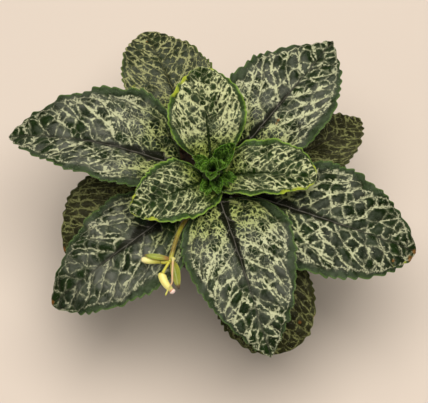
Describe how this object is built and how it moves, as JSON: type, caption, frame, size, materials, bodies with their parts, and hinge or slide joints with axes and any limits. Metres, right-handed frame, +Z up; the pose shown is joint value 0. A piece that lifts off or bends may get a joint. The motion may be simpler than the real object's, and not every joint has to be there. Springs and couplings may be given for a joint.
{
  "type": "potted primulina",
  "caption": "Low rosette of broad toothed leaves with silvery veins and a short flower stalk in bud, growing in a round tapered nursery pot.",
  "frame": {"origin": "centre of the pot's underside, on the surface that it stands on", "axes": "+Z up; the flower stalk leans towards -Y, which is the picture's near side; +X to the right"},
  "size_m": [0.2533, 0.2266, 0.1394],
  "materials": {
    "pot_plastic": "satin",
    "potting_mix": "matte",
    "stem_skin": "matte",
    "leaf_green": "satin",
    "leaf_young": "satin",
    "leaf_old": "satin",
    "stalk_skin": "satin",
    "bract_skin": "satin",
    "petal": "satin"
  },
  "bodies": {
    "root": {"pot": "pot_plastic", "potting_mix": "potting_mix", "stem": "stem_skin", "flower_stalk": "stalk_skin", "bud_left": "petal", "bud_front": "petal", "pistil": "petal", "bract_left": "bract_skin", "bract_right": "bract_skin", "leaf_01_left": "leaf_green", "leaf_02_back_left": "leaf_green", "leaf_03_back": "leaf_young", "leaf_04_back_right": "leaf_green", "leaf_05_right_under": "leaf_old", "leaf_06_right": "leaf_green", "leaf_07_right_young": "leaf_young", "leaf_08_front": "leaf_green", "leaf_09_front_under": "leaf_old", "leaf_10_front_left": "leaf_green", "leaf_11_left_under": "leaf_old", "leaf_12_left_young": "leaf_young", "leaf_13_heart_left": "leaf_young", "leaf_14_heart_right": "leaf_young", "leaf_15_heart_front": "leaf_young"}
  },
  "joints": []
}
